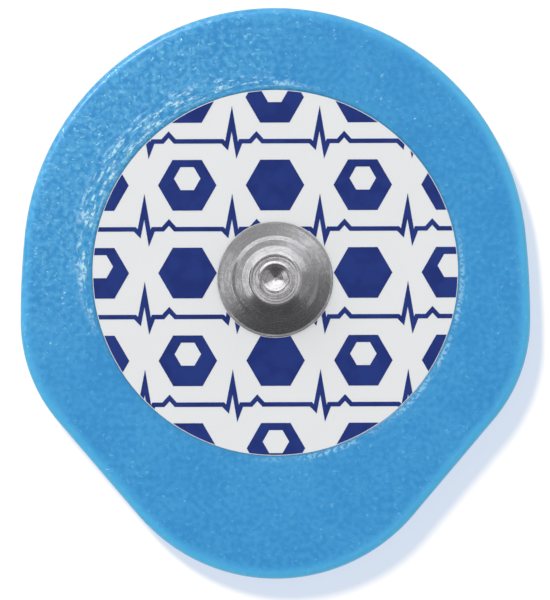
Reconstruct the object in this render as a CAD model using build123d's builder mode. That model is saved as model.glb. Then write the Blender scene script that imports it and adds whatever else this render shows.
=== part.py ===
from build123d import *
from math import acos, asin, atan2, degrees, hypot, sqrt
import os

# A disposable foam electrode for an electrocardiograph. All lengths are in millimetres.
#
# A die-cut pad of soft foam has a rounded crown and tapers to a lift tab. Its underside is
# coated with skin adhesive, and a round well through the pad holds the gel. A printed label
# closes the top of the well. A coated eyelet comes up through the label, and its tip is
# clenched inside a drawn metal stud, the snap for the lead wire.
#
# The origin is on the stud's axis, in the plane of the skin. +Z points up out of the stud,
# and the lift tab points along -Y.

# Foam pad
foam_width = 38.4
foam_thickness = 1.6
crown_reach = 20.45  # stud axis to the top of the crown
tab_reach = 22.55  # stud axis to the end of the lift tab
crown_inset = 0.23  # how much tighter the crown's arc is than half the width
side_radius = 64.0  # long shallow arcs down each side
corner_radius = 11.65  # where each side turns in to the taper
tab_radius = 13.6  # the end of the lift tab
pad_edge_slant = 0.4  # the cutting die squeezes the top edge down
well_diameter = 17.2

# Skin adhesive
adhesive_thickness = 0.1
adhesive_inset = 0.1  # bare foam left round the adhesive

# Label
label_diameter = 27.5
label_thickness = 0.12
label_shift = 0.5  # the label is laid this far above the stud's axis
label_seat_depth = 0.24  # the label is pressed into the foam
label_seat_gap = 0.05

# Printed pattern
ink_thickness = 0.02
print_pitch = 6.6  # rows and columns of hexagons
hexagon_width = 4.4  # across corners
ring_bore = 2.0  # across corners too
pulse_height = 1.7
pulse_stroke = 0.34
print_margin = 0.05  # bare edge round the label, and round the stud

# Drawn stud
stud_wall = 0.25
stud_height = 3.5
flange_diameter = 8.7
foot_width = 0.3  # flat rim that bears on the label
flange_rise = 0.2  # the flange slopes up from its foot to its step
step_diameter = 6.3
step_run = 0.16
step_rise = 0.26
cone_diameter = 5.2
cone_foot_rise = 0.08  # the ledge slopes up from the step to the foot of the cone
neck_diameter = 3.3
neck_length = 0.6
head_diameter = 3.95
head_height = 1.4  # underside of the head to the top of the stud
head_flare = 0.3  # height over which the neck widens into the head
head_slant = 0.12  # lead-in at the head's upper edge, for the clip of the lead wire
rim_drop = 0.05  # top of the stud to the head's upper edge
valley_diameter = 3.04  # shallow valley between the head's upper edge and the lip
valley_drop = 0.09
lip_diameter = 2.55
lip_crest = 0.15
dimple_diameter = 2.04
dimple_drop = 0.22  # the dimple's steep wall, below which a cone runs down to its pit
pit_diameter = 0.7
dimple_depth = 0.5

# Eyelet
eyelet_diameter = 10.0
eyelet_thickness = 0.45
clench_gap = 0.05  # round the post and its clenched tip, inside the stud
post_hole_gap = 0.1  # round the post in the label

# Gel
gel_gap = 0.05

overrun = 1.0  # how far cutting shapes run past the faces that they cut

# Heights of the layers above the skin
foam_bottom = adhesive_thickness
foam_top = foam_bottom + foam_thickness
label_bottom = foam_top - label_seat_depth
label_top = label_bottom + label_thickness

# Radii that several pieces share
half_width = foam_width / 2
well_radius = well_diameter / 2
label_radius = label_diameter / 2
flange_radius = flange_diameter / 2
post_radius = neck_diameter / 2 - stud_wall - clench_gap

os.makedirs("parts", exist_ok=True)

# Half of the pad's outline, from the crown down to the tab. Each arc is tangent to the next,
# so the angles that they turn through follow from their radii and the reach of the tab.
quarter_turn = 90
crown_radius = half_width - crown_inset
crown_centre = crown_reach - crown_radius
side_to_crown = side_radius - crown_radius
side_drop = sqrt(side_to_crown**2 - (side_radius - half_width) ** 2)
side_sweep = degrees(asin(side_drop / side_to_crown))
tab_from_corner_x = corner_radius - half_width
tab_from_corner_y = tab_radius - tab_reach - (crown_centre - side_drop)
tab_from_corner = hypot(tab_from_corner_x, tab_from_corner_y)
radius_change = corner_radius - tab_radius
taper_length = sqrt(tab_from_corner**2 - radius_change**2)
tab_direction = degrees(atan2(tab_from_corner_y, tab_from_corner_x))
corner_sweep = -tab_direction - degrees(acos(radius_change / tab_from_corner))

with BuildSketch() as pad_outline:
    with BuildLine():
        crown = JernArc((0, crown_reach), (1, 0), crown_radius, side_sweep - quarter_turn)
        side = JernArc(crown @ 1, crown % 1, side_radius, -side_sweep)
        corner = JernArc(side @ 1, side % 1, corner_radius, -corner_sweep)
        taper = Line(corner @ 1, corner @ 1 + (corner % 1) * taper_length)
        JernArc(taper @ 1, taper % 1, tab_radius, corner_sweep - quarter_turn)
        mirror(about=Plane.YZ)
    make_face()

# The pad has a seat pressed into it for the label, and a well through it for the gel
with BuildPart() as foam_pad:
    with BuildSketch(Plane.XY.offset(foam_bottom)):
        add(pad_outline.sketch)
    extrude(amount=foam_thickness)
    chamfer(foam_pad.faces().sort_by(Axis.Z)[-1].edges(), pad_edge_slant)
    with BuildSketch(Plane.XY.offset(label_bottom)):
        with Locations((0, label_shift)):
            Circle(label_radius + label_seat_gap)
    extrude(amount=label_seat_depth + overrun, mode=Mode.SUBTRACT)
    with BuildSketch(Plane.XY.offset(foam_bottom)):
        Circle(well_radius)
    extrude(amount=foam_thickness, mode=Mode.SUBTRACT)
foam_pad.part.label = "foam_pad"
export_step(foam_pad.part, "parts/foam_pad.step")

# The coat of adhesive that holds the pad to the skin
with BuildPart() as skin_adhesive:
    with BuildSketch():
        add(pad_outline.sketch)
        offset(amount=-adhesive_inset)
        Circle(well_radius, mode=Mode.SUBTRACT)
    extrude(amount=adhesive_thickness)
skin_adhesive.part.label = "skin_adhesive"
export_step(skin_adhesive.part, "parts/skin_adhesive.step")

# The label film, with the hole for the eyelet's post
with BuildPart() as top_label:
    with BuildSketch(Plane.XY.offset(label_bottom)):
        with Locations((0, label_shift)):
            Circle(label_radius)
        Circle(post_radius + post_hole_gap, mode=Mode.SUBTRACT)
    extrude(amount=label_thickness)
top_label.part.label = "top_label"
export_step(top_label.part, "parts/top_label.step")

# One beat of the printed pulse line, across and up, as shares of the pitch and of its height
beat_shares = (
    (0.0, 0.0),
    (0.4, 0.0),
    (0.45, -0.2),
    (0.51, 1.0),
    (0.57, -0.4),
    (0.61, 0.0),
    (0.72, 0.0),
    (0.79, 0.3),
    (0.86, 0.0),
)

# Hexagons, solid and open by turns, with a pulse line between each two rows. The rows and the
# columns run past the label's edge, and each beat peaks between two columns.
rows = 2 * int(label_radius / print_pitch) + 3
print_left = -(rows + 1) * print_pitch / 2
lowest_pulse = label_shift - (rows / 2 - 1) * print_pitch
with BuildPart() as label_print:
    with BuildSketch(Plane.XY.offset(label_top)):
        with Locations((0, label_shift)):
            with GridLocations(print_pitch, print_pitch, rows, rows) as hexagons:
                RegularPolygon(hexagon_width / 2, 6)
            with Locations(*hexagons.local_locations[::2]):
                RegularPolygon(ring_bore / 2, 6, mode=Mode.SUBTRACT)
        for row in range(rows - 1):
            pulse_level = lowest_pulse + row * print_pitch
            pulse_points = [
                (print_left + (beat + across) * print_pitch, pulse_level + up * pulse_height)
                for beat in range(rows + 1)
                for across, up in beat_shares
            ]
            with BuildLine():
                Polyline(*pulse_points)
            trace(line_width=pulse_stroke)
        with Locations((0, label_shift)):
            Circle(label_radius - print_margin, mode=Mode.INTERSECT)
        Circle(flange_radius + print_margin, mode=Mode.SUBTRACT)
    extrude(amount=ink_thickness)
label_print.part.label = "label_print"
export_step(label_print.part, "parts/label_print.step")

# Heights on the middle line of the stud's sheet metal, above the label
half_wall = stud_wall / 2
step_level = half_wall + flange_rise
ledge_level = step_level + step_rise
underside_level = stud_height - head_height + half_wall
neck_level = underside_level - head_flare
neck_middle = neck_level - neck_length / 2
lip_level = stud_height - half_wall
rim_level = lip_level - rim_drop
floor_level = lip_level - dimple_depth

# The middle line runs from outside the rim, over each corner that the tools coin, to past
# the axis
stud_line = (
    (flange_radius + overrun, half_wall),
    (flange_radius - foot_width, half_wall),
    (step_diameter / 2 - half_wall, step_level),
    (step_diameter / 2 - half_wall - step_run, ledge_level),
    (cone_diameter / 2 - half_wall, ledge_level + cone_foot_rise),
    (neck_diameter / 2 - half_wall, neck_level - neck_length),
    (neck_diameter / 2 - half_wall, neck_level),
    (head_diameter / 2 - half_wall, underside_level),
    (head_diameter / 2 - half_wall, rim_level - head_slant),
    (head_diameter / 2 - half_wall - head_slant, rim_level),
    (valley_diameter / 2, lip_level - valley_drop),
    (lip_diameter / 2 + lip_crest / 2, lip_level),
    (lip_diameter / 2 - lip_crest / 2, lip_level),
    (dimple_diameter / 2, lip_level - dimple_drop),
    (pit_diameter / 2, floor_level),
    (-flange_radius, floor_level),
)
stud_plane = Plane((0, 0, label_top), x_dir=(1, 0, 0), z_dir=(0, -1, 0))

# The stud, drawn from one sheet
with BuildPart() as snap_stud:
    with BuildSketch(stud_plane):
        with BuildLine():
            Polyline(*stud_line)
        trace(line_width=stud_wall)
        Rectangle(flange_radius, stud_height, align=Align.MIN, mode=Mode.INTERSECT)
    revolve(axis=Axis.Z)
snap_stud.part.label = "snap_stud"
export_step(snap_stud.part, "parts/snap_stud.step")

# The eyelet is a flat button against the gel, with a post that is clenched in the stud:
# above the neck, its tip fills the space that the stud's sheet encloses
eyelet_radius = eyelet_diameter / 2
eyelet_bottom = label_bottom - eyelet_thickness
post_length = label_top + neck_middle - label_bottom
with BuildPart() as sensor_eyelet:
    with BuildSketch(Plane.XY.offset(eyelet_bottom)):
        Circle(eyelet_radius)
    extrude(amount=eyelet_thickness)
    with BuildSketch(Plane.XY.offset(label_bottom)):
        Circle(post_radius)
    extrude(amount=post_length)
    with BuildSketch(stud_plane):
        with BuildLine():
            sheet = Polyline(*stud_line)
            Polyline(sheet @ 1, (-flange_radius, 0), (flange_radius + overrun, 0), sheet @ 0)
        make_face()
        offset(amount=-half_wall - clench_gap, kind=Kind.INTERSECTION)
        with Locations((0, neck_middle)):
            Rectangle(head_diameter, stud_height, align=Align.MIN, mode=Mode.INTERSECT)
    revolve(axis=Axis.Z)
sensor_eyelet.part.label = "sensor_eyelet"
export_step(sensor_eyelet.part, "parts/sensor_eyelet.step")

# The gel fills the well up to the label, cast round the eyelet's button
with BuildPart() as gel_pad:
    with BuildSketch():
        Circle(well_radius - gel_gap)
    extrude(amount=label_bottom)
    add(sensor_eyelet.part, mode=Mode.SUBTRACT)
gel_pad.part.label = "gel_pad"
export_step(gel_pad.part, "parts/gel_pad.step")
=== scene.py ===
"""Looks of a disposable foam electrode: a die-cut pad, a printed label, a snap stud and the gel.

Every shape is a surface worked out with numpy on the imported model's own sizes, in metres. Lengths
in the fields of the classes are in millimetres, because that is how such a product is drawn.
"""

import logging
import math
from collections.abc import Mapping, Sequence
from dataclasses import dataclass
from enum import Enum

import bpy
import numpy as np
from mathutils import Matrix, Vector


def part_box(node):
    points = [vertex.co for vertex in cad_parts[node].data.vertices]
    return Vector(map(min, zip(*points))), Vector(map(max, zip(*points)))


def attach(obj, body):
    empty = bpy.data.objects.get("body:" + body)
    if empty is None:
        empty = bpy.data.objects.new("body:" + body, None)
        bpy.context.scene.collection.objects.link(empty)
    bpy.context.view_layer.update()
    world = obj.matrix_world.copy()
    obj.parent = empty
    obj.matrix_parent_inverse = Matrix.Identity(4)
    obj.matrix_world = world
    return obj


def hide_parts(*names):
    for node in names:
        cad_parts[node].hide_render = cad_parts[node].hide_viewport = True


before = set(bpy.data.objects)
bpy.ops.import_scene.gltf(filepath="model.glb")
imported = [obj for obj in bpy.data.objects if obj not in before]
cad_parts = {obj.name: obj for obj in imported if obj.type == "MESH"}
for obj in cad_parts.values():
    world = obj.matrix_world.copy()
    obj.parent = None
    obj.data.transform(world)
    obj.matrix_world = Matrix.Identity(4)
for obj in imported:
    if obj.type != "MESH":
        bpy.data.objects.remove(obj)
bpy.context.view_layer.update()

log = logging.getLogger("electrode")
MM = 0.001
HEAD_RADIUS = 1.975  # the stud's head, in millimetres
WELL_RADIUS = 8.6  # the well that the gel fills, in millimetres
Colour = tuple[float, float, float]


def linear(red: int, green: int, blue: int) -> Colour:
    """Turns an 8-bit display colour into the linear one that a shader takes.

    Args:
        red: red, from 0 to 255.
        green: green, from 0 to 255.
        blue: blue, from 0 to 255.

    Returns:
        The colour as linear red, green and blue.
    """
    shares = (channel / 255 for channel in (red, green, blue))
    return tuple(s / 12.92 if s <= 0.04045 else ((s + 0.055) / 1.055) ** 2.4 for s in shares)


class Signal:
    """A number that flows through a material's nodes, with Python's operators."""

    def __init__(self, shader: "Shader", socket: bpy.types.NodeSocket) -> None:
        """Wraps an output socket of one shader."""
        self.shader = shader
        self.socket = socket

    def _math(self, operation: str, *values: "Signal | float") -> "Signal":
        """Adds one Math node.

        Args:
            operation: the node's operation.
            values: what goes into its sockets, in their order.

        Returns:
            The node's result.
        """
        inputs = dict(enumerate(values))
        return self.shader.node("ShaderNodeMath", {"operation": operation}, inputs)

    def __add__(self, other: "Signal | float") -> "Signal":
        """Adds."""
        return self._math("ADD", self, other)

    __radd__ = __add__

    def __sub__(self, other: "Signal | float") -> "Signal":
        """Takes the other away from this."""
        return self._math("SUBTRACT", self, other)

    def __rsub__(self, other: float) -> "Signal":
        """Takes this away from a number."""
        return self._math("SUBTRACT", other, self)

    def __mul__(self, other: "Signal | float") -> "Signal":
        """Multiplies."""
        return self._math("MULTIPLY", self, other)

    __rmul__ = __mul__

    def ramp(self, start: float, end: float) -> "Signal":
        """Rises smoothly from 0 at one value to 1 at another.

        Args:
            start: the value that gives 0.
            end: the value that gives 1. It may be the lower one.

        Returns:
            The smooth step between them.
        """
        settings = {"interpolation_type": "SMOOTHSTEP"}
        return self.shader.node("ShaderNodeMapRange", settings, {0: self, 1: start, 2: end})


class Shader:
    """The nodes of a material, or of the world."""

    def __init__(self, owner: bpy.types.Material | bpy.types.World) -> None:
        """Starts with an empty node tree.

        Args:
            owner: the material or the world that the nodes belong to.
        """
        self.owner = owner
        owner.use_nodes = True
        self.tree = owner.node_tree
        self.tree.nodes.clear()

    @classmethod
    def named(cls, name: str) -> "Shader":
        """Starts a new material of that name."""
        return cls(bpy.data.materials.new(name))

    def node(
        self,
        kind: str,
        settings: Mapping[str, object] | None = None,
        inputs: Mapping[int | str, object] | None = None,
        output: int | str = 0,
    ) -> Signal:
        """Adds a node of any type.

        Args:
            kind: the node's type.
            settings: its own settings, which are set first.
            inputs: numbers, colours or signals by the socket's name or number.
            output: the socket that the result comes from.

        Returns:
            The signal that leaves that socket.
        """
        made = self.tree.nodes.new(kind)
        for name, value in (settings or {}).items():
            setattr(made, name, value)
        for key, value in (inputs or {}).items():
            if isinstance(value, Signal):
                self.tree.links.new(value.socket, made.inputs[key])
            elif isinstance(value, tuple) and made.inputs[key].type == "RGBA":
                made.inputs[key].default_value = (*value, 1.0)
            else:
                made.inputs[key].default_value = value
        return Signal(self, made.outputs[output])

    def millimetres(self) -> Signal:
        """Gives the place on the object in millimetres, the same for every piece."""
        place = self.node("ShaderNodeTexCoord", output="Object")
        return self.vector("SCALE", place, scale=1 / MM)

    def vector(
        self, operation: str, *values: object, scale: float = 1.0, output: int | str = 0
    ) -> Signal:
        """Adds one Vector Math node.

        Args:
            operation: the node's operation.
            values: the vectors that go into it, in their order.
            scale: the factor of the operation that scales.
            output: the socket that the result comes from.

        Returns:
            The node's result.
        """
        inputs = dict(enumerate(values)) | ({"Scale": scale} if operation == "SCALE" else {})
        return self.node("ShaderNodeVectorMath", {"operation": operation}, inputs, output)

    def noise(self, place: Signal, size: float, detail: float) -> Signal:
        """Adds soft noise.

        Args:
            place: the place in millimetres.
            size: the size of its patches, in millimetres.
            detail: how many finer layers it has.

        Returns:
            A number from 0 to 1, mostly near 0.5.
        """
        inputs = {"Vector": place, "Scale": 1 / size, "Detail": detail}
        return self.node("ShaderNodeTexNoise", {"noise_dimensions": "3D"}, inputs)

    def warped(self, place: Signal, size: float, reach: float) -> Signal:
        """Shifts places about with noise, so that what is drawn there loses its even shapes.

        Args:
            place: the place in millimetres.
            size: the size of the noise's patches, in millimetres.
            reach: how far a place can be shifted, in millimetres.

        Returns:
            The shifted place.
        """
        inputs = {"Vector": place, "Scale": 1 / size, "Detail": 1.0}
        drift = self.node("ShaderNodeTexNoise", {"noise_dimensions": "3D"}, inputs, "Color")
        drift = self.vector("SUBTRACT", drift, (0.5, 0.5, 0.5))
        return self.vector("ADD", place, self.vector("SCALE", drift, scale=2 * reach))

    def cells(self, place: Signal, size: float) -> tuple[Signal, Signal]:
        """Divides space into rounded cells.

        Args:
            place: the place in millimetres.
            size: the size of a cell, in millimetres.

        Returns:
            The distance from the cell's centre in cell sizes, and a random number for each cell.
        """
        inputs = {"Vector": place, "Scale": 1 / size}
        near = self.node("ShaderNodeTexVoronoi", {"feature": "F1"}, inputs, "Distance")
        colour = self.node("ShaderNodeTexVoronoi", {"feature": "F1"}, inputs, "Color")
        return near, self.node("ShaderNodeSeparateColor", None, {0: colour}, "Red")

    def blend(self, share: Signal | float, low: object, high: object) -> Signal:
        """Mixes two colours.

        Args:
            share: 0 for the first colour, 1 for the second.
            low: the first colour.
            high: the second colour.

        Returns:
            The mixed colour.
        """
        return self.node("ShaderNodeMix", {"data_type": "RGBA"}, {0: share, 6: low, 7: high}, 2)

    def bump(self, height: Signal, depth: float) -> Signal:
        """Makes a normal from a height.

        Args:
            height: the height, where 1 is as high as the depth.
            depth: the height's scale, in millimetres.

        Returns:
            The bent normal.
        """
        inputs = {"Height": height, "Distance": depth * MM}
        return self.node("ShaderNodeBump", None, inputs)

    def close(self, surface: Signal, kind: str = "ShaderNodeOutputMaterial") -> None:
        """Leads a surface to the tree's output.

        Args:
            surface: the finished surface.
            kind: the output node's type.
        """
        end = self.tree.nodes.new(kind)
        self.tree.links.new(surface.socket, end.inputs["Surface"])

    def finish(self, inputs: Mapping[str, object]) -> bpy.types.Material:
        """Closes a material with a principled surface.

        Args:
            inputs: the values and signals of the surface's sockets.

        Returns:
            The finished material.
        """
        self.close(self.node("ShaderNodeBsdfPrincipled", None, inputs))
        return self.owner


@dataclass(frozen=True)
class FoamFinish:
    """Closed-cell foam with a thin glossy skin, creased where it was pulled beside the label."""

    deep: Colour = linear(47, 146, 206)
    pale: Colour = linear(65, 160, 214)
    # the paler blue of the domes, and of the painted sheen on the upper-left side
    light: Colour = linear(140, 212, 240)
    # whitened skin and painted glints, for the creases and for the flecks beside the label
    white_skin_and_glint: Colour = linear(192, 234, 255)
    # painted light: the paler cyan of the cut edge, standing in for light that passes through the
    # foam
    rim: Colour = linear(88, 187, 230)
    # painted shade: the darker blue of a thin band of foam right beside the label's edge
    shade: Colour = linear(48, 124, 182)
    cell_size: float = 0.3
    mottle_size: float = 0.42
    patch_size: float = 4.0
    crease_length: float = 1.1
    crease_squeeze: float = 4.2
    break_size: float = 0.27
    pinch_size: float = 2.5
    relief_depth: float = 0.03
    label_radius: float = 13.75
    label_shift: float = 0.5
    pulled_to: tuple[float, float, float] = (-0.76, 0.65, 0.0)
    roughness: float = 0.34

    def creases(
        self, shader: Shader, place: Signal, direction: Signal, pulled: Signal, out: Signal
    ) -> tuple[Signal, Signal]:
        """Draws what the label does to the foam's skin beside it.

        The creases are noise that is long along the label's edge and narrow across it, in a
        band that is widest where the pad was pulled. On the opposite side the film nips the
        skin, which leaves short pale flecks along the edge. The white of the creases and the
        flecks is partly whitened skin and partly painted glints.

        Args:
            shader: the nodes to use.
            place: the place in millimetres.
            direction: the direction out from the label's centre.
            pulled: 1 in the direction of the pull, and -1 in the opposite one.
            out: the distance out from the label's edge, in millimetres.

        Returns:
            The creases, and how much they and the flecks are painted white, as whitened skin
            and painted glints.
        """
        along = shader.vector("SCALE", direction, scale=self.label_radius)
        across = shader.node("ShaderNodeCombineXYZ", None, {"Z": out * self.crease_squeeze})
        lines = shader.noise(shader.vector("ADD", along, across), self.crease_length, 1.5)
        breaks = shader.noise(place, self.break_size, 1.0).ramp(0.42, 0.57)
        band = (out + 3.0 * (1.0 - pulled)).ramp(2.3, 1.2) * out.ramp(0.15, 0.5)
        creases = lines.ramp(0.49, 0.58) * band * (0.2 + 0.8 * breaks)
        # the flecks at the lower right, where the foam's rim faces the lamp: partly nipped skin,
        # partly painted glints
        nipped = out.ramp(0.08, 0.22) * out.ramp(0.6, 0.35) * pulled.ramp(-0.45, -0.85)
        pinched = shader.noise(along, self.pinch_size, 1.0).ramp(0.32, 0.55)
        return creases, creases + nipped * breaks * pinched * 0.48

    def material(self) -> bpy.types.Material:
        """Builds the foam.

        Bubbles under the skin stand out as small paler domes. On the upper-left side, where the
        pad was pulled and which faces the lamp, more of them show and the foam is paler, which
        is painted sheen. The skin is creased beside the label, with painted glints on the
        creases, and painted light along the cut edge stands in for light passing through it.

        Returns:
            The material.
        """
        shader = Shader.named("blue_foam")
        place = shader.millimetres()
        centred = shader.vector("SUBTRACT", place, (0.0, self.label_shift, 0.0))
        centred = shader.vector("MULTIPLY", centred, (1.0, 1.0, 0.0))
        distance = shader.vector("LENGTH", centred, output="Value")
        direction = shader.vector("NORMALIZE", centred)
        pulled = shader.vector("DOT_PRODUCT", direction, self.pulled_to, output="Value")
        out = distance - self.label_radius

        near, chance = shader.cells(shader.warped(place, 0.35, 0.3), self.cell_size)
        mottle = shader.noise(place, self.mottle_size, 1.5)
        patches = shader.noise(place, self.patch_size, 2.0)
        # stretched is 1 on the upper-left side, where the pad was pulled and which faces the lamp
        stretched = pulled.ramp(0.36, 1.0)
        tone = (mottle * 0.6 + patches * 0.4).ramp(0.35, 0.65)
        body = shader.blend(tone, self.deep, self.pale)
        # painted sheen: paler mottled patches on the upper-left side, towards the lamp
        body = shader.blend(stretched * mottle.ramp(0.35, 0.8) * 0.3, body, self.light)
        # painted light: the edge attribute makes the foam paler along its cut edge, more where it
        # faces away from the lamp; on the upper left, mottled patches keep part of it off
        edge = shader.node("ShaderNodeAttribute", {"attribute_name": "painted_edge_light"}, output="Fac")
        speckled = 1.0 - 0.6 * stretched * mottle.ramp(0.6, 0.2)
        body = shader.blend(edge * speckled, body, self.rim)
        # painted sheen: on the upper-left side, towards the lamp, more domes show and they are
        # paler
        threshold = 0.83 - 0.31 * stretched - 0.25 * (patches - 0.5)
        shown = (chance - threshold).ramp(0.0, 0.12)
        domes = shown * near.ramp(0.55, 0.05)
        body = shader.blend(domes * (0.35 + 0.3 * stretched), body, self.light)

        creases, whitening_and_glint = self.creases(shader, place, direction, pulled, out)
        # painted shade: a thin darker band on the foam right beside the label's edge
        body = shader.blend(out.ramp(0.22, 0.05) * 0.4, body, self.shade)
        # partly whitened skin and partly painted glints on the creases and the flecks
        body = shader.blend(whitening_and_glint, body, self.white_skin_and_glint)
        relief = domes * 0.9 + creases * 2.4 + mottle * (0.3 + 0.5 * stretched)
        return shader.finish(
            {
                "Base Color": body,
                "Roughness": self.roughness - 0.1 * domes - 0.08 * creases,
                "Normal": shader.bump(relief, self.relief_depth),
                "IOR": 1.45,
                "Subsurface Weight": 0.7,
                "Subsurface Radius": (0.35, 0.8, 1.0),
                "Subsurface Scale": 1.2 * MM,
            }
        )


@dataclass(frozen=True)
class FilmFinish:
    """White satin label film."""

    colour: Colour = linear(228, 230, 231)
    grain_size: float = 0.12
    swell_size: float = 3.5
    relief_depth: float = 0.05
    roughness: float = 0.38

    def material(self) -> bpy.types.Material:
        """Builds the film, with the faint unevenness of the foam under it.

        Returns:
            The material.
        """
        shader = Shader.named("white_label_film")
        place = shader.millimetres()
        grain = shader.noise(place, self.grain_size, 1.0)
        swell = shader.noise(place, self.swell_size, 1.0)
        shade = tuple(0.96 * channel for channel in self.colour)
        return shader.finish(
            {
                "Base Color": shader.blend(grain * 0.5 + swell * 0.5, shade, self.colour),
                "Roughness": self.roughness + 0.08 * grain,
                "Normal": shader.bump(swell + 0.02 * grain, self.relief_depth),
            }
        )


@dataclass(frozen=True)
class InkFinish:
    """Flat navy printing ink."""

    colour: Colour = linear(34, 54, 124)
    deep: Colour = linear(28, 46, 114)
    tone_size: float = 1.6
    grain_size: float = 0.1
    swell_size: float = 3.5
    relief_depth: float = 0.05
    roughness: float = 0.5

    def material(self) -> bpy.types.Material:
        """Builds the ink, slightly uneven in tone as print on film is.

        Returns:
            The material.
        """
        shader = Shader.named("navy_ink")
        place = shader.millimetres()
        tone = shader.noise(place, self.tone_size, 2.0)
        grain = shader.noise(place, self.grain_size, 1.0)
        swell = shader.noise(place, self.swell_size, 1.0)
        return shader.finish(
            {
                "Base Color": shader.blend(tone.ramp(0.35, 0.65), self.deep, self.colour),
                "Roughness": self.roughness + 0.1 * grain,
                "Normal": shader.bump(swell + 0.03 * grain, self.relief_depth),
                "Specular IOR Level": 0.12,
            }
        )


@dataclass(frozen=True)
class NickelFinish:
    """Nickel plate, dulled by tumbling with the other studs."""

    bright: Colour = (0.73, 0.72, 0.74)
    dull: Colour = (0.56, 0.55, 0.58)
    pressed: Colour = (0.95, 0.93, 0.95)
    ring_rate: float = 12.0
    dent_size: float = 0.5
    grain_size: float = 0.07
    blotch_size: float = 1.3
    speck_size: float = 0.25
    relief_depth: float = 0.01
    roughness: float = 0.26
    head_radius: float = HEAD_RADIUS
    head_blend: float = 0.1

    def material(self) -> bpy.types.Material:
        """Builds the metal, with small dents, dull patches and the rings left by spinning.

        The rings are noise that changes fast with the distance from the axis and slowly with
        the place. The head is smoother than the rest, because the tools press it.

        Returns:
            The material.
        """
        shader = Shader.named("tumbled_nickel")
        place = shader.millimetres()
        flat = shader.vector("MULTIPLY", place, (1.0, 1.0, 0.0))
        radius = shader.vector("LENGTH", flat, output="Value")
        outward = shader.node("ShaderNodeCombineXYZ", None, {"Z": radius * self.ring_rate})
        rings = shader.noise(shader.vector("ADD", place, outward), 1.0, 2.0)
        dents = shader.noise(place, self.dent_size, 1.0)
        grain = shader.noise(place, self.grain_size, 2.0)
        blotches = shader.noise(place, self.blotch_size, 1.0)
        specks = shader.noise(place, self.speck_size, 2.0)
        wear = (rings * 0.45 + specks * 0.3 + blotches * 0.25).ramp(0.4, 0.6)
        polish = radius.ramp(self.head_radius + self.head_blend, self.head_radius)
        relief = (dents + 0.2 * rings) * (1.0 - 0.6 * polish) + 0.05 * grain
        metal = shader.blend(wear, self.dull, self.bright)
        return shader.finish(
            {
                "Base Color": shader.blend(polish * (0.45 + 0.5 * wear), metal, self.pressed),
                "Metallic": 1.0,
                "Roughness": self.roughness + 0.1 * grain - 0.06 * wear - 0.05 * polish,
                "Normal": shader.bump(relief, self.relief_depth),
            }
        )


@dataclass(frozen=True)
class SilverFinish:
    """Silver and silver-chloride coat of the eyelet."""

    light: Colour = linear(150, 146, 142)
    dark: Colour = linear(112, 106, 104)
    patch_size: float = 0.9
    grain_size: float = 0.08
    relief_depth: float = 0.008

    def material(self) -> bpy.types.Material:
        """Builds the dull coat.

        Returns:
            The material.
        """
        shader = Shader.named("silver_chloride_coat")
        place = shader.millimetres()
        patches = shader.noise(place, self.patch_size, 3.0)
        grain = shader.noise(place, self.grain_size, 1.0)
        return shader.finish(
            {
                "Base Color": shader.blend(patches.ramp(0.35, 0.65), self.dark, self.light),
                "Metallic": 0.5,
                "Roughness": 0.55 + 0.15 * grain,
                "Normal": shader.bump(grain + patches, self.relief_depth),
            }
        )


@dataclass(frozen=True)
class GelFinish:
    """Wet translucent gel."""

    clear: Colour = linear(214, 226, 230)
    cloudy: Colour = linear(190, 208, 216)
    cloud_size: float = 2.2
    ripple_size: float = 0.7
    relief_depth: float = 0.02

    def material(self) -> bpy.types.Material:
        """Builds the gel, slightly cloudy and uneven.

        Returns:
            The material.
        """
        shader = Shader.named("wet_gel")
        place = shader.millimetres()
        cloud = shader.noise(place, self.cloud_size, 2.0)
        ripple = shader.noise(place, self.ripple_size, 1.0)
        return shader.finish(
            {
                "Base Color": shader.blend(cloud.ramp(0.3, 0.7), self.clear, self.cloudy),
                "Roughness": 0.1 + 0.08 * cloud,
                "Normal": shader.bump(ripple, self.relief_depth),
                "Transmission Weight": 0.55,
                "IOR": 1.36,
            }
        )


@dataclass(frozen=True)
class AdhesiveFinish:
    """Tacky acrylate coat, through which the foam shows."""

    thin: Colour = linear(120, 184, 222)
    thick: Colour = linear(92, 166, 214)
    streak_size: float = 0.5
    streak_stretch: float = 0.12
    grain_size: float = 0.25
    relief_depth: float = 0.02

    def material(self) -> bpy.types.Material:
        """Builds the coat, with the streaks that coating leaves along the web.

        Returns:
            The material.
        """
        shader = Shader.named("acrylate_adhesive")
        place = shader.millimetres()
        stretched = shader.vector("MULTIPLY", place, (1.0, self.streak_stretch, 1.0))
        streaks = shader.noise(stretched, self.streak_size, 2.0)
        grain = shader.noise(place, self.grain_size, 2.0)
        return shader.finish(
            {
                "Base Color": shader.blend(streaks.ramp(0.3, 0.7), self.thin, self.thick),
                "Roughness": 0.22 + 0.12 * grain,
                "Normal": shader.bump(streaks + 0.5 * grain, self.relief_depth),
                "Coat Weight": 0.4,
                "Coat Roughness": 0.12,
            }
        )


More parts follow.
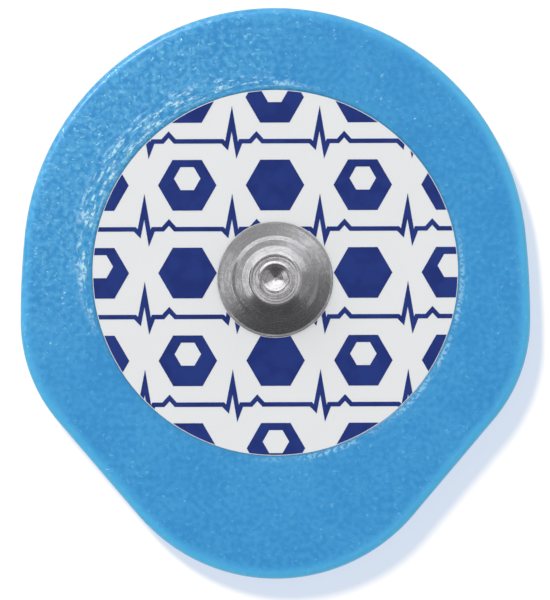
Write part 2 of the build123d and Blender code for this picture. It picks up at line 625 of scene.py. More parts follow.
def smooth_noise(x: np.ndarray, y: np.ndarray, size: float, seed: int) -> np.ndarray:
    """Gives soft noise over the plane.

    A grid of random heights is drawn once from the seed. Between its corners the height follows
    the smooth step 3t^2 - 2t^3 of the share t of the way across, along both axes.

    Args:
        x: places across, in millimetres.
        y: places up, in millimetres.
        size: the grid's pitch, in millimetres.
        seed: the seed of the random heights.

    Returns:
        Heights from -1 to 1, in the shape of x.
    """
    count = 256  # the grid repeats after this many steps
    heights = np.random.default_rng(seed).uniform(-1, 1, (count, count))
    column, row = np.floor(x / size).astype(int), np.floor(y / size).astype(int)
    across, up = x / size - column, y / size - row
    across, up = across**2 * (3 - 2 * across), up**2 * (3 - 2 * up)

    def corner(i: int, j: int) -> np.ndarray:
        """Looks up the heights at one corner of the cells."""
        return heights[(column + i) % count, (row + j) % count]

    low = corner(0, 0) * (1 - across) + corner(1, 0) * across
    high = corner(0, 1) * (1 - across) + corner(1, 1) * across
    return low * (1 - up) + high * up


def smooth_step(value: np.ndarray, start: float, end: float) -> np.ndarray:
    """Rises as 3t^2 - 2t^3, where t is the share of the way from start to end.

    Args:
        value: where to take it.
        start: the value that gives 0.
        end: the value that gives 1. It may be the lower one.

    Returns:
        Numbers from 0 to 1, in the shape of value.
    """
    share = np.clip((value - start) / (end - start), 0, 1)
    return share**2 * (3 - 2 * share)


def make_piece(name: str, grid: np.ndarray, loop: bool) -> bpy.types.Object:
    """Makes an object from a grid of points that closes on itself across its columns.

    Each face joins two neighbours of one row to the two beside them in the next row. A looped
    grid joins its last row to its first. Otherwise the first and the last row are each one point
    repeated, which becomes a pole. If the enclosed volume comes out negative, the faces turn.

    Args:
        name: the object's name.
        grid: the points in millimetres, as rows, columns and x, y, z.
        loop: whether the last row meets the first.

    Returns:
        The object, at the origin and linked to the scene.
    """
    rows, columns = grid.shape[:2]
    if loop:
        points = grid.reshape(-1, 3)
        index = np.arange(rows * columns).reshape(rows, columns)
        lower, upper = index, np.roll(index, -1, axis=0)
    else:
        points = np.concatenate([grid[0, :1], grid[1:-1].reshape(-1, 3), grid[-1, :1]])
        inner = 1 + np.arange((rows - 2) * columns).reshape(rows - 2, columns)
        ends = np.zeros((1, columns), int), np.full((1, columns), len(points) - 1)
        index = np.concatenate([ends[0], inner, ends[1]])
        lower, upper = index[:-1], index[1:]
    corners = (lower, np.roll(lower, -1, axis=1), np.roll(upper, -1, axis=1), upper)
    quads = np.stack(corners, axis=-1).reshape(-1, 4)
    first_pole, last_pole = quads[:, 0] == quads[:, 1], quads[:, 2] == quads[:, 3]
    triangles = np.concatenate([quads[first_pole][:, 1:], quads[last_pole][:, :3]])
    quads = quads[~(first_pole | last_pole)]
    fans = np.concatenate([quads[:, [0, 1, 2]], quads[:, [0, 2, 3]], triangles])
    a, b, c = (points[fans[:, k]] for k in range(3))
    if np.einsum("ij,ij->", a, np.cross(b, c)) < 0:
        quads, triangles = quads[:, ::-1], triangles[:, ::-1]
    mesh = bpy.data.meshes.new(name)
    mesh.from_pydata((points * MM).tolist(), [], quads.tolist() + triangles.tolist())
    mesh.polygons.foreach_set("use_smooth", np.ones(len(mesh.polygons), bool))
    mesh.update()
    piece = bpy.data.objects.new(name, mesh)
    bpy.context.scene.collection.objects.link(piece)
    return piece


def lathe(name: str, section: np.ndarray, columns: int) -> bpy.types.Object:
    """Turns a half section about the Z axis.

    Each point of the section goes round a circle of its own radius at its own height.

    Args:
        name: the object's name.
        section: radius and height in millimetres, from one point on the axis to another.
        columns: how many steps the circle takes.

    Returns:
        The object.
    """
    turn = np.linspace(0, 2 * math.pi, columns, endpoint=False)
    radius, height = section[:, :1], section[:, 1:]
    grid = np.stack(
        [radius * np.cos(turn), radius * np.sin(turn), height + 0 * turn], axis=-1
    )
    return make_piece(name, grid, loop=False)


def rounded_line(
    corners: Sequence[tuple[float, float, float]] | np.ndarray,
    step: float,
    least_steps: float = 5.0,
) -> np.ndarray:
    """Walks along a bent line whose corners are round.

    At a corner the line leaves its straight run at a distance of radius times the tangent of half
    the turn, follows an arc of that radius, and joins the next run at the same distance.

    Args:
        corners: x, y and bend radius of each corner, in millimetres. The two ends have radius 0.
        step: the greatest distance between two points.
        least_steps: the fewest steps that an arc takes for each radian of its turn.

    Returns:
        The points as x and y.
    """
    places = np.array([corner[:2] for corner in corners], float)
    pieces = [places[:1]]
    for before, (x, y, radius), after in zip(corners, corners[1:], corners[2:]):
        here = np.array((x, y))
        into = here - np.array(before[:2])
        out = np.array(after[:2]) - here
        into, out = into / np.hypot(*into), out / np.hypot(*out)
        turn = math.atan2(into[0] * out[1] - into[1] * out[0], into @ out)
        start = here - into * radius * math.tan(abs(turn) / 2)
        side = np.array((-into[1], into[0])) * math.copysign(1, turn)
        count = math.ceil(abs(turn) * max(radius / step, least_steps)) + 1
        angles = np.linspace(0, abs(turn), count)[:, None]
        pieces.append(start + radius * (into * np.sin(angles) + side * (1 - np.cos(angles))))
    pieces.append(places[-1:])
    rough = np.concatenate(pieces)
    gaps = np.hypot(*np.diff(rough, axis=0).T)
    rough = rough[np.concatenate([[True], gaps > 1e-9])]
    gaps = np.hypot(*np.diff(rough, axis=0).T)
    counts = np.ceil(gaps / step).astype(int)
    number = np.arange(counts.sum()) - np.repeat(np.cumsum(counts) - counts, counts)
    share = (number / np.repeat(counts, counts))[:, None]
    start, end = (np.repeat(ends, counts, axis=0) for ends in (rough[:-1], rough[1:]))
    return np.concatenate([start + share * (end - start), rough[-1:]])


def beneath(corners: np.ndarray, depth: float, least_bend: float = 0.03) -> np.ndarray:
    """Finds the line that runs beside a bent line, on its right and everywhere as far away.

    Where two runs meet, the corner moves by the depth times (a + b) / (1 + a.b), in which a and b
    are the runs' unit normals. Its bend grows by the depth where the line turns left, and
    shrinks by as much where it turns right, though never below the least bend.

    Args:
        corners: x, y and bend radius of each corner, in millimetres.
        depth: the distance between the two lines.
        least_bend: the smallest bend that a corner is left with.

    Returns:
        The corners of the new line, in the same form.
    """
    runs = np.diff(corners[:, :2], axis=0)
    runs /= np.linalg.norm(runs, axis=-1, keepdims=True)
    normals = np.stack([-runs[:, 1], runs[:, 0]], -1)
    before, after = np.vstack([normals[:1], normals]), np.vstack([normals, normals[-1:]])
    closeness = 1 + np.einsum("ij,ij->i", before, after)[:, None]
    moved = corners[:, :2] - depth * (before + after) / closeness
    turn = before[:, 0] * after[:, 1] - before[:, 1] * after[:, 0]
    bends = np.maximum(corners[:, 2] + depth * np.sign(turn), least_bend)
    return np.column_stack([moved, np.where(turn == 0, corners[:, 2], bends)])


def dress(
    piece: bpy.types.Object, material: bpy.types.Material, node: str
) -> bpy.types.Object:
    """Gives a new piece its material, its body and the solid that it stands for.

    Args:
        piece: the new piece.
        material: its finish.
        node: the solid that it replaces.

    Returns:
        The same piece.
    """
    piece.data.materials.append(material)
    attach(piece, "root")
    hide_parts(node)
    log.info("%s: %d faces in place of %s", piece.name, len(piece.data.polygons), node)
    return piece


@dataclass(frozen=True)
class PadOutline:
    """The die's outline: four tangent stretches down each side, the same left and right."""

    crown_inset: float = 0.23
    side_radius: float = 64.0
    corner_radius: float = 11.65
    tab_radius: float = 13.6
    samples: int = 400

    def arcs(self) -> tuple[tuple[float, ...], ...]:
        """Works out the arcs of the right side, from the top of the crown down to the tab.

        Each arc is tangent to the next, or to the taper between them, so that their centres
        and angles follow from their radii and the pad's box.

        Returns:
            Of each arc, the x and y of its centre and its radius in millimetres, and its first
            and last angle in radians.
        """
        low, high = (np.array(corner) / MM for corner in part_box("foam_pad"))
        half = (high[0] - low[0]) / 2
        crown = half - self.crown_inset
        crown_centre = high[1] - crown
        change = self.side_radius - crown
        drop = math.sqrt(change**2 - (self.side_radius - half) ** 2)
        side_angle = math.asin(drop / change)
        side_centre = crown_centre - drop
        reach = (self.corner_radius - half, low[1] + self.tab_radius - side_centre)
        taper_angle = math.atan2(reach[1], reach[0]) + math.acos(
            (self.corner_radius - self.tab_radius) / math.hypot(*reach)
        )
        return (
            (0.0, crown_centre, crown, math.pi / 2, side_angle),
            (half - self.side_radius, side_centre, self.side_radius, side_angle, 0.0),
            (half - self.corner_radius, side_centre, self.corner_radius, 0.0, taper_angle),
            (0.0, low[1] + self.tab_radius, self.tab_radius, taper_angle, -math.pi / 2),
        )

    def around(self, turn: np.ndarray) -> tuple[np.ndarray, np.ndarray]:
        """Finds the outline in every direction from the stud's axis.

        On each arc the outline is the arc's centre plus its radius times the outward normal. The
        taper is the straight line between the corner's last point and the tab's first, whose
        normals agree. The left side mirrors the right.

        Args:
            turn: directions in radians, from 0 to a full turn.

        Returns:
            The points of the outline in millimetres, and its outward normals there.
        """
        arcs = self.arcs()
        angles = [np.linspace(start, end, self.samples) for *_, start, end in arcs]
        normals = np.concatenate([np.stack([np.cos(a), np.sin(a)], -1) for a in angles])
        centres = np.repeat([arc[:2] for arc in arcs], self.samples, axis=0)
        radii = np.repeat([arc[2] for arc in arcs], self.samples)[:, None]
        points = centres + radii * normals
        mirrored = np.array((-1.0, 1.0))
        points = np.concatenate([points, points[::-1] * mirrored])
        normals = np.concatenate([normals, normals[::-1] * mirrored])
        bearing = np.unwrap(np.arctan2(points[:, 1], points[:, 0]))[::-1]
        points, normals = points[::-1], normals[::-1]
        wanted = (turn - bearing[0]) % (2 * math.pi) + bearing[0]
        found = [
            np.stack([np.interp(wanted, bearing, table[:, k]) for k in range(2)], axis=-1)
            for table in (points, normals)
        ]
        lengths = np.linalg.norm(found[1], axis=-1, keepdims=True)
        return found[0], found[1] / lengths


@dataclass(frozen=True)
class FoamPad:
    """The die-cut pad, with the well through it and the seat of the label pressed into it."""

    outline: PadOutline
    finish: FoamFinish
    columns: int = 1000
    top_rows: int = 64
    edge_radius: float = 0.55
    rim_run: float = 0.25
    rim_fall: float = 0.08
    waist: float = 0.02
    well_radius: float = WELL_RADIUS
    painted_light_width: float = 1.1
    light_side: tuple[float, float] = (-0.6, 0.8)
    sink: float = 0.03
    swells: tuple[tuple[float, float], ...] = ((6.5, 0.018), (1.7, 0.012))
    press_run: float = 1.6
    press_depth: float = 0.05
    pull_bearing: float = 140.0
    pull_spread: float = 38.0
    crease_radius: float = 15.0
    crease_distances: tuple[float, ...] = (0.3, 0.75, 1.15, 1.6, 2.05)
    crease_drift: float = 0.16
    crease_width: float = 0.09
    crease_height: float = 0.045

    def relief(self, x: np.ndarray, y: np.ndarray, out: np.ndarray) -> np.ndarray:
        """Works out how far the foam's skin lies below its full height.

        Two soft noises make it lie unevenly. Near the label it is drawn down by pressing, and
        creases run round the label: each is a narrow ridge whose distance from the label drifts
        with a noise, and which another noise breaks into short strokes. They are strongest
        where the pad was pulled, at the upper left.

        Args:
            x: places across, in millimetres.
            y: places up, in millimetres.
            out: distance out from the label's edge, in millimetres.

        Returns:
            The drop in millimetres, never negative.
        """
        drop = self.sink
        for seed, (size, depth) in enumerate(self.swells, 11):
            drop = drop + depth * smooth_noise(x, y, size, seed)
        drop = drop + self.press_depth * smooth_step(out, self.press_run, 0.0)
        bearing = np.arctan2(y, x)
        away = (np.degrees(bearing) - self.pull_bearing) / self.pull_spread
        pulled = np.exp(-(away**2))
        arc = bearing * self.crease_radius
        for number, distance in enumerate(self.crease_distances):
            lane = 0 * arc + 40 * number
            drift = self.crease_drift * smooth_noise(arc, lane, 1.9, 20 + number)
            broken = smooth_noise(arc, lane, 0.55, 30 + number)
            stroke = smooth_step(broken, -0.1, 0.5) * (0.15 + 0.85 * pulled)
            ridge = np.exp(-(((out - distance - drift) / self.crease_width) ** 2))
            drop = drop - self.crease_height * stroke * ridge
        return np.maximum(drop, 0.0)

    def skin(self, turn: np.ndarray, border: np.ndarray, normal: np.ndarray) -> np.ndarray:
        """Works out the pad's closed skin.

        Every column is one direction from the stud's axis. Going round a column, the skin climbs
        the wall of the well, crosses the seat, climbs to the rim, crosses the top in rows that
        stand closer near the label, rounds the edge and comes down to the underside.

        Args:
            turn: the direction of each column, in radians.
            border: the outline's point in each direction, in millimetres.
            normal: the outline's outward normal there.

        Returns:
            The points in millimetres, as rows, columns and x, y, z.
        """
        bottom, top = (corner[2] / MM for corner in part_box("foam_pad"))
        label_low, label_high = (np.array(corner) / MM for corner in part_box("top_label"))
        seat_radius = (label_high[0] - label_low[0]) / 2
        shift = (label_high[1] + label_low[1]) / 2
        seat = label_low[2]
        compass = np.stack([np.cos(turn), np.sin(turn)], -1)
        along = shift * np.sin(turn)
        reach = along + np.sqrt(along**2 - shift**2 + seat_radius**2)
        well = self.well_radius * compass
        rim = reach[:, None] * compass
        rows: list[np.ndarray] = []

        def row(flat: np.ndarray, height: np.ndarray | float) -> None:
            """Adds one row of points at a height."""
            rows.append(np.concatenate([flat, np.broadcast_to(height, turn.shape)[:, None]], -1))

        for share in np.linspace(0, 1, 5):
            row(well, bottom + share * (seat - bottom))
        for share in (0.35, 0.7, 1.0):
            row(well + share * (rim - well), seat)
        lip = np.linspace(0, math.pi / 2, 5)
        flank = border - self.edge_radius * normal
        start = rim + self.rim_run * compass
        shares = np.linspace(0, 1, self.top_rows) ** 1.9
        crossing = [start + share * (flank - start) for share in shares]

        def lie(flat: np.ndarray) -> np.ndarray:
            """Gives the height of the foam's skin over some places."""
            out = np.hypot(flat[:, 0], flat[:, 1] - shift) - seat_radius
            return top - self.relief(flat[:, 0], flat[:, 1], np.maximum(out, 0.0))

        rim_height = lie(start)
        for angle in lip[:-1]:
            inward = rim + self.rim_run * (1 - math.cos(angle)) * compass
            row(inward, rim_height - self.rim_fall * (1 - math.sin(angle)))
        for flat in crossing:
            row(flat, lie(flat))
        flank_height = lie(flank)
        for angle in np.linspace(0, math.pi / 2, 14)[1:]:
            outward = flank + self.edge_radius * math.sin(angle) * normal
            row(outward, flank_height - self.edge_radius * (1 - math.cos(angle)))
        wall = flank_height - self.edge_radius
        for share in (0.25, 0.5, 0.75, 1.0):
            hollow = self.waist * math.sin(math.pi * share)
            row(border - hollow * normal, wall + share * (bottom - wall))
        for share in (0.3, 0.7):
            row(border + share * (well - border), bottom)
        return np.stack(rows)

    def glow(self, inside: np.ndarray, normal: np.ndarray) -> np.ndarray:
        """Works out the painted light along the foam's cut edge, which stands in for light that
        passes through the foam there.

        It fades over its width, and is stronger where the edge faces away from the light, where
        it also makes up for the shade.

        Args:
            inside: how far each point is inside the outline, in millimetres.
            normal: the outline's outward normal at each column.

        Returns:
            A number from 0 to 1 for each point.
        """
        shaded = smooth_step(normal @ np.array(self.light_side), 0.9, -0.3)
        return smooth_step(inside, self.painted_light_width, 0.1) * (0.4 + 0.5 * shaded)

    def build(self) -> bpy.types.Object:
        """Builds the pad, with the painted light along its edge as an attribute.

        Returns:
            The finished piece.
        """
        turn = np.linspace(0, 2 * math.pi, self.columns, endpoint=False)
        border, normal = self.outline.around(turn)
        grid = self.skin(turn, border, normal)
        piece = make_piece("foam_body", grid, loop=True)
        inside = np.einsum("rck,ck->rc", border - grid[..., :2], normal)
        edge = piece.data.attributes.new("painted_edge_light", "FLOAT", "POINT")
        edge.data.foreach_set("value", self.glow(inside, normal).ravel())
        return dress(piece, self.finish.material(), "foam_pad")


@dataclass(frozen=True)
class AdhesiveCoat:
    """The coat of adhesive under the pad, a little short of the die's cut."""

    outline: PadOutline
    finish: AdhesiveFinish
    inset: float = 0.1
    creep: float = 0.04
    bulge: float = 0.02
    well_radius: float = WELL_RADIUS
    columns: int = 480

    def build(self) -> bpy.types.Object:
        """Builds the coat as a thin ring, whose outer edge creeps in and out a little.

        Returns:
            The finished piece.
        """
        bottom, top = (corner[2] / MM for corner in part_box("skin_adhesive"))
        turn = np.linspace(0, 2 * math.pi, self.columns, endpoint=False)
        compass = np.stack([np.cos(turn), np.sin(turn)], -1)
        border, normal = self.outline.around(turn)
        crept = self.creep * (1 + smooth_noise(border[:, 0], border[:, 1], 1.3, 51))[:, None]
        edge = border - (self.inset + crept) * normal
        well = self.well_radius * compass
        stations = [
            (well, bottom),
            (well, top),
            *((well + share * (edge - well), top) for share in (0.33, 0.67)),
            (edge, top),
            (edge + self.bulge * normal, (top + bottom) / 2),
            (edge, bottom),
            *((well + share * (edge - well), bottom) for share in (0.67, 0.33)),
        ]
        rows = [
            np.concatenate([flat, np.full((self.columns, 1), height)], -1)
            for flat, height in stations
        ]
        piece = make_piece("adhesive_coat", np.stack(rows), loop=True)
        return dress(piece, self.finish.material(), "skin_adhesive")


@dataclass(frozen=True)
class SnapStud:
    """The stud, drawn from one sheet, with rings coined into the top of its head."""

    finish: NickelFinish
    wall: float = 0.25
    rim_bend: float = 0.06
    foot_width: float = 0.2
    flange_rise: float = 0.2
    step_radius: float = 3.26
    step_run: float = 0.26
    step_rise: float = 0.2
    ledge_rise: float = 0.13
    cone_radius: float = 2.52
    cone_rise: float = 0.34
    collar_radius: float = 1.95
    neck_radius: float = 1.65
    neck_level: float = 1.4
    head_radius: float = HEAD_RADIUS
    head_height: float = 1.33
    head_flare: float = 0.3
    bevel_run: float = 0.115
    bevel_fall: float = 0.095
    valley_radius: float = 1.4
    valley_drop: float = 0.014
    groove_radii: tuple[float, ...] = (1.48, 1.68)
    groove_run: float = 0.035
    groove_drop: float = 0.009
    lip_radius: float = 1.14
    lip_crest: float = 0.08
    lip_lift: float = 0.1
    lip_spread: float = 0.16
    lip_bearing: float = 122.0
    dimple_radius: float = 0.99
    dimple_drop: float = 0.2
    floor_radius: float = 0.6
    floor_drop: float = 0.323
    floor_lean: float = 6.0
    floor_bearing: float = 255.0
    floor_fade: tuple[float, float] = (1.02, 0.9)
    pit_radius: float = 0.12
    dimple_depth: float = 0.517
    lifted_above: float = 2.5
    outer_step: float = 0.02
    inner_step: float = 0.06
    columns: int = 176
    sharp_angle: float = 40.0

    def outer_corners(self, top: float, rim: float, coined: bool) -> np.ndarray:
        """Lists the corners of the outer face, from the dimple's centre to the rim.

        Args:
            top: the height of the lip above the label, in millimetres.
            rim: the radius of the flange.
            coined: whether the fine rings on the head are there, which only the outer face has.

        Returns:
            Radius, height and bend of each corner, in millimetres.
        """
        dimple = (self.dimple_radius, top - self.dimple_drop, 0.04)
        valley = top - self.valley_drop
        grooves = [
            (middle + share * self.groove_run, valley - (1 - abs(share)) * self.groove_drop, 0.02)
            for middle in self.groove_radii
            for share in (-1, 0, 1)
        ]
        head = (
            (0.0, top - self.dimple_depth, 0.0),
            (self.pit_radius, top - self.dimple_depth, 0.25),
            (self.floor_radius, top - self.floor_drop, 0.15),
            dimple,
            (self.lip_radius - self.lip_crest / 2, top, 0.05),
            (self.lip_radius + self.lip_crest / 2, top, 0.05),
            (self.valley_radius, valley, 0.06),
            *grooves,
            (self.head_radius - self.bevel_run, top, 0.04),
            (self.head_radius, top - self.bevel_fall, 0.0),
        )
        plain = (*head[:2], dimple, (self.lip_radius, top, 0.1), (self.head_radius, top, 0.1))
        underside = top + self.lip_lift - self.head_height
        flange = self.wall + self.flange_rise
        ledge = flange + self.step_rise
        cone = ledge + self.ledge_rise
        shared = (
            (self.head_radius, underside, 0.1),
            (self.neck_radius, underside - self.head_flare, 0.3),
            (self.neck_radius, self.neck_level, 0.15),
            (self.collar_radius, cone + self.cone_rise, 0.1),
            (self.cone_radius, cone, 0.25),
            (self.step_radius - self.step_run, ledge, 0.1),
            (self.step_radius, flange, 0.1),
            (rim - self.foot_width, self.wall, 0.15),
            (rim, self.wall, self.rim_bend),
        )
        return np.array((head if coined else plain) + shared)

    def leaning(self, place: np.ndarray) -> np.ndarray:
        """Works out how much the top of the head is lifted where the tools pressed askew.

        The lip's lift follows ((1 + cos a) / 2)^3, where a is the angle from its bearing, and a
        bell curve across the lip. The dimple's floor is a tilted plane, whose tilt fades out
        at the dimple's wall.

        Args:
            place: the points as x, y, z in millimetres, above the label.

        Returns:
            The lift of each point in millimetres.
        """
        x, y, z = place.T
        radius, bearing = np.hypot(x, y), np.degrees(np.arctan2(y, x))
        across = np.exp(-(((radius - self.lip_radius) / self.lip_spread) ** 2))
        facing = (1 + np.cos(np.radians(bearing - self.lip_bearing))) / 2
        lip = self.lip_lift * across * facing**3
        slope = math.tan(math.radians(self.floor_lean))
        plane = slope * radius * np.cos(np.radians(bearing - self.floor_bearing))
        floor = plane * smooth_step(radius, *self.floor_fade)
        return (lip + floor) * (z > self.lifted_above)

    def build(self) -> bpy.types.Object:
        """Builds the stud: its outer face, and its inner face one wall under that, turned.

        Returns:
            The finished piece.
        """
        low, high = (np.array(corner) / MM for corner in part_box("snap_stud"))
        top = high[2] - low[2] - self.lip_lift
        outer = self.outer_corners(top, high[0], coined=True)
        inner = beneath(self.outer_corners(top, high[0], coined=False), self.wall)
        middle = np.array([(high[0], self.wall / 2, 0.0)])
        section = np.concatenate(
            [
                rounded_line(np.concatenate([outer, middle]), self.outer_step),
                rounded_line(np.concatenate([middle, inner[::-1]]), self.inner_step)[1:],
            ]
        )
        piece = lathe("stud_shell", section + (0.0, low[2]), self.columns)
        points = np.empty((len(piece.data.vertices), 3))
        piece.data.vertices.foreach_get("co", points.reshape(-1))
        points[:, 2] += MM * self.leaning(points / MM - (0.0, 0.0, low[2]))
        piece.data.vertices.foreach_set("co", points.reshape(-1))
        piece.data.set_sharp_from_angle(angle=math.radians(self.sharp_angle))
        return dress(piece, self.finish.material(), "snap_stud")


@dataclass(frozen=True)
class SensorEyelet:
    """The coated eyelet: a button on the gel, and a post clenched inside the stud."""

    finish: SilverFinish
    button_edge: float = 0.14
    post_radius: float = 1.35
    post_height: float = 1.75
    clench_radius: float = 1.6
    clench_height: float = 2.35
    shoulder_height: float = 3.08
    hollow_radius: float = 1.02
    hollow_height: float = 2.68
    clench_wall: float = 0.24
    tip_radius: float = 0.3
    tip_height: float = 2.52
    step: float = 0.06
    columns: int = 128

    def build(self) -> bpy.types.Object:
        """Builds the eyelet as one turned section, from the button's centre to the tip's.

        Returns:
            The finished piece.
        """
        low, high = (np.array(corner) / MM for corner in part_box("sensor_eyelet"))
        under_label, label = (corner[2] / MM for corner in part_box("top_label"))
        corners = (
            (0.0, low[2], 0.0),
            (high[0] - self.button_edge, low[2], 0.1),
            (high[0], low[2] + self.button_edge, 0.1),
            (high[0], under_label, 0.05),
            (self.post_radius, under_label, 0.0),
            (self.post_radius, label + self.post_height, 0.2),
            (self.clench_radius, label + self.clench_height, 0.1),
            (self.clench_radius, label + self.shoulder_height, 0.08),
            (self.clench_radius - self.clench_wall, label + self.shoulder_height, 0.06),
            (self.hollow_radius, label + self.hollow_height, 0.1),
            (self.tip_radius, label + self.tip_height, 0.1),
            (0.0, label + self.tip_height, 0.0),
        )
        piece = lathe("eyelet_button", rounded_line(corners, self.step), self.columns)
        return dress(piece, self.finish.material(), "sensor_eyelet")


@dataclass(frozen=True)
class GelPad:
    """The gel in the well, with the soft edge that it takes when it sets."""

    finish: GelFinish
    edge_radius: float = 0.2
    eyelet_gap: float = 0.01
    step: float = 0.1
    columns: int = 160

    def build(self) -> bpy.types.Object:
        """Builds the gel as one turned section, hollow above for the eyelet's button.

        Returns:
            The finished piece.
        """
        low, high = (np.array(corner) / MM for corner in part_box("gel_pad"))
        button_low, button_high = (np.array(corner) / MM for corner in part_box("sensor_eyelet"))
        hollow, recess = button_high[0] + self.eyelet_gap, button_low[2] - self.eyelet_gap
        corners = (
            (0.0, low[2], 0.0),
            (high[0], low[2], self.edge_radius),
            (high[0], high[2], 0.08),
            (hollow, high[2], 0.0),
            (hollow, recess, 0.0),
            (0.0, recess, 0.0),
        )
        piece = lathe("gel_disc", rounded_line(corners, self.step), self.columns)
        return dress(piece, self.finish.material(), "gel_pad")


@dataclass(frozen=True)
class FaceLabel:
    """The label film and its print, whose flat solids are shown as they are."""

    film: FilmFinish
    ink: InkFinish

    def dress(self) -> None:
        """Gives the two solids their finishes."""
        for node, finish in (("top_label", self.film), ("label_print", self.ink)):
            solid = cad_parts[node]
            solid.data.materials.clear()
            solid.data.materials.append(finish.material())
            log.info("%s: dressed with %s", node, solid.data.materials[0].name)


class Lamp(Enum):
    """The studio's lamps: direction to the lamp, size and distance in metres, and power."""

    SOFT = ((-0.50, 0.62, 0.80), 1.2, 1.0, 6.0)
    GLINT = ((-0.50, 0.64, 0.72), 0.05, 0.22, 0.35)

    def add(self) -> bpy.types.Object:
        """Adds the lamp, turned to the electrode.

        Returns:
            The lamp.
        """
        towards, size, distance, power = self.value
        data = bpy.data.lights.new(f"{self.name.lower()}_lamp", "AREA")
        data.shape, data.size, data.energy = "DISK", size, power
        lamp = bpy.data.objects.new(data.name, data)
        direction = Vector(towards).normalized()
        lamp.location = direction * distance
        lamp.rotation_euler = direction.to_track_quat("Z", "Y").to_euler()
        bpy.context.scene.collection.objects.link(lamp)
        return lamp


class Card(Enum):
    """Cards that only gloss sees: first and last bearing, lowest and highest slope, and level.

    Bearings go round from +X in degrees, and slopes are degrees above the floor.
    """

    FLAG = (-146.0, -38.0, 0.0, 62.0, 0.09)
    HOOD = (-157.0, 15.0, 62.0, 80.0, 0.05)
    RIGHT_FLAG = (-38.0, 20.0, 0.0, 62.0, 0.3)
    LEFT_FLAG = (152.0, 214.0, 42.0, 57.0, 0.05)
    SIDE_FLAG = (20.0, 38.0, 38.0, 58.0, 0.08)
    RIGHT_SCRIM = (15.0, 70.0, 66.0, 80.0, 0.62)
    FAR_SCRIM = (70.0, 152.0, 52.0, 80.0, 0.28)
    LEFT_SCRIM = (152.0, 203.0, 64.0, 80.0, 0.7)
    CEILING = (-180.0, 180.0, 80.0, 90.0, 0.56)
    WINDOW = (62.0, 152.0, 16.0, 52.0, 1.14)
    FAR_CURB = (62.0, 152.0, -8.0, 16.0, 0.78)
    LEFT_CURB = (152.0, 214.0, -8.0, 20.0, 0.05)
    RIGHT_CURB = (20.0, 45.0, -8.0, 16.0, 0.12)

    def add(self, radius: float = 0.5, columns: int = 33, rows: int = 17) -> bpy.types.Object:
        """Hangs the card as a piece of a ball about the electrode.

        A point at bearing b and slope s stands at the radius times (cos s cos b, cos s sin b,
        sin s).

        Args:
            radius: the ball's radius, in metres.
            columns: how many points it has from its first bearing to its last.
            rows: how many points it has from its lowest slope to its highest.

        Returns:
            The card.
        """
        first, last, low, high, level = self.value
        bearing = np.radians(np.linspace(first, last, columns))[None, :]
        slope = np.radians(np.linspace(low, high, rows))[:, None]
        parts = (np.cos(slope) * np.cos(bearing), np.cos(slope) * np.sin(bearing))
        points = radius * np.stack([*parts, np.sin(slope) + 0 * bearing], -1).reshape(-1, 3)
        index = np.arange(len(points)).reshape(rows, columns)
        sides = (index[:-1, :-1], index[1:, :-1], index[1:, 1:], index[:-1, 1:])
        quads = np.stack(sides, -1).reshape(-1, 4)
        name = f"{self.name.lower()}_card"
        mesh = bpy.data.meshes.new(name)
        mesh.from_pydata(points.tolist(), [], quads.tolist())
        card = bpy.data.objects.new(name, mesh)
        bpy.context.scene.collection.objects.link(card)
        card.visible_camera = card.visible_diffuse = card.visible_shadow = False
        card.visible_transmission = False
        shader = Shader.named(name)
        inputs = {"Color": (1.0, 1.0, 1.0), "Strength": level}
        shader.close(shader.node("ShaderNodeEmission", None, inputs))
        mesh.materials.append(shader.owner)
        return card


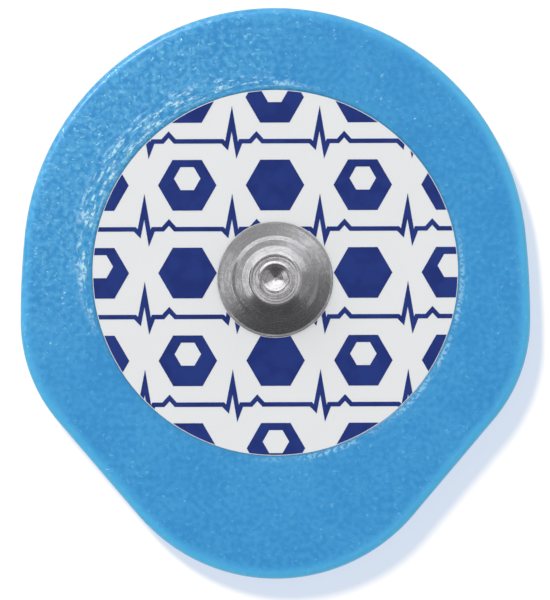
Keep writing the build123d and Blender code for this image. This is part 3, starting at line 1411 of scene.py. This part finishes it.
@dataclass(frozen=True)
class Studio:
    """The floor, the light and the camera."""

    floor_size: float = 3.0
    floor_gap: float = 0.02
    floor_white: float = 1.04
    sun_strength: float = 50.0
    sun_spread: float = 11.0
    sun_towards: tuple[float, float, float] = (-0.69, 1.05, 0.82)
    world_light: float = 0.72
    floor_light: float = 0.5
    shadow: Colour = linear(207, 219, 237)
    camera_height: float = 0.25
    view_height: float = 45.10
    view_centre: tuple[float, float] = (-0.03, -1.55)
    view_turn: float = -0.2

    def seen(self, shader: Shader) -> Signal:
        """Tells the rays that see the background from those that bring light.

        Args:
            shader: the nodes to use.

        Returns:
            1 where the eye, a gloss or a clear piece looks, and 0 elsewhere.
        """
        kinds = [
            shader.node("ShaderNodeLightPath", output=f"Is {kind} Ray")
            for kind in ("Camera", "Glossy", "Transmission")
        ]
        return (kinds[0] + kinds[1] + kinds[2]).ramp(0.0, 1.0)

    def floor(self) -> bpy.types.Object:
        """Lays the floor, which looks white to the eye and keeps the electrode's shadow.

        What the floor glows with is the shadow's own colour. The sun adds the rest, up to just
        over white, where the electrode doesn't stand in its way.

        Returns:
            The floor.
        """
        half, level = self.floor_size / 2, -self.floor_gap * MM
        corners = [(-half, -half, level), (half, -half, level), (half, half, level)]
        corners.append((-half, half, level))
        mesh = bpy.data.meshes.new("floor")
        mesh.from_pydata(corners, [], [(0, 1, 2, 3)])
        piece = bpy.data.objects.new("floor", mesh)
        bpy.context.scene.collection.objects.link(piece)
        shader = Shader.named("white_floor")
        height = Vector(self.sun_towards).normalized().z
        sunlight = self.sun_strength * height / math.pi
        tint = tuple((self.floor_white - channel) / sunlight for channel in self.shadow)
        catcher = shader.node("ShaderNodeBsdfDiffuse", None, {"Color": tint})
        glow = shader.node("ShaderNodeEmission", None, {"Color": self.shadow, "Strength": 1.0})
        bright = shader.node("ShaderNodeAddShader", None, {0: catcher, 1: glow})
        inputs = {"Color": (1.0, 1.0, 1.0), "Strength": self.floor_light}
        plain = shader.node("ShaderNodeEmission", None, inputs)
        inputs = {0: self.seen(shader), 1: plain, 2: bright}
        shader.close(shader.node("ShaderNodeMixShader", None, inputs))
        mesh.materials.append(shader.owner)
        return piece

    def alone(self, name: str, piece: bpy.types.Object) -> bpy.types.Collection:
        """Makes a collection of one object, which a lamp lights alone or passes by.

        Args:
            name: the collection's name.
            piece: the object in it.

        Returns:
            The collection.
        """
        collection = bpy.data.collections.new(name)
        collection.objects.link(piece)
        return collection

    def light(
        self, floor: bpy.types.Object, foam: bpy.types.Object, stud: bpy.types.Object
    ) -> None:
        """Lights the electrode softly from the upper left, and the floor with its shadow.

        Args:
            floor: the floor, which alone takes the sun that draws the shadow.
            foam: the foam, which alone takes the small lamp that makes its skin glint.
            stud: the stud, which lets the soft lamp's light pass to the label.
        """
        soft = Lamp.SOFT.add()
        soft.visible_glossy = False
        passed = self.alone("without_shadow", stud)
        passed.collection_objects[0].light_linking.link_state = "EXCLUDE"
        soft.light_linking.blocker_collection = passed
        glint = Lamp.GLINT.add()
        glint.visible_diffuse = False
        glint.light_linking.receiver_collection = self.alone("glinting", foam)
        for card in Card:
            card.add()
        data = bpy.data.lights.new("shadow_sun", "SUN")
        data.energy, data.angle = self.sun_strength, math.radians(self.sun_spread)
        sun = bpy.data.objects.new("shadow_sun", data)
        towards = Vector(self.sun_towards).normalized()
        sun.rotation_euler = towards.to_track_quat("Z", "Y").to_euler()
        bpy.context.scene.collection.objects.link(sun)
        sun.light_linking.receiver_collection = self.alone("sunlit", floor)

    def world(self) -> None:
        """Makes the world: even fill light, and white where the eye or a gloss sees it."""
        world = bpy.data.worlds.new("studio")
        bpy.context.scene.world = world
        shader = Shader(world)
        strength = self.world_light + (1.0 - self.world_light) * self.seen(shader)
        white = {"Color": (1.0, 1.0, 1.0), "Strength": strength}
        shader.close(shader.node("ShaderNodeBackground", None, white), "ShaderNodeOutputWorld")

    def camera(self) -> None:
        """Places the camera straight above, with the pad's top at the photograph's scale."""
        data = bpy.data.cameras.new("camera")
        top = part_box("foam_pad")[1][2]
        data.sensor_fit = "VERTICAL"
        data.sensor_height = 24.0
        data.lens = data.sensor_height * (self.camera_height - top) / (self.view_height * MM)
        data.clip_start, data.clip_end = 0.01, 20.0
        camera = bpy.data.objects.new("camera", data)
        across, up = self.view_centre
        camera.location = (across * MM, up * MM, self.camera_height)
        camera.rotation_euler = (0.0, 0.0, math.radians(self.view_turn))
        bpy.context.scene.collection.objects.link(camera)
        bpy.context.scene.camera = camera

    def build(self, foam: bpy.types.Object, stud: bpy.types.Object) -> None:
        """Sets up the whole studio.

        Args:
            foam: the electrode's foam.
            stud: the electrode's stud.
        """
        bpy.context.scene.view_settings.view_transform = "Standard"
        self.light(self.floor(), foam, stud)
        self.world()
        self.camera()


def main() -> None:
    """Builds the electrode, piece by piece, and the studio around it."""
    logging.basicConfig(level=logging.INFO, format="%(name)s: %(message)s")
    outline = PadOutline()
    foam = FoamPad(outline, FoamFinish()).build()
    AdhesiveCoat(outline, AdhesiveFinish()).build()
    stud = SnapStud(NickelFinish()).build()
    SensorEyelet(SilverFinish()).build()
    GelPad(GelFinish()).build()
    FaceLabel(FilmFinish(), InkFinish()).dress()
    Studio().build(foam, stud)


if __name__ == "__main__":
    main()
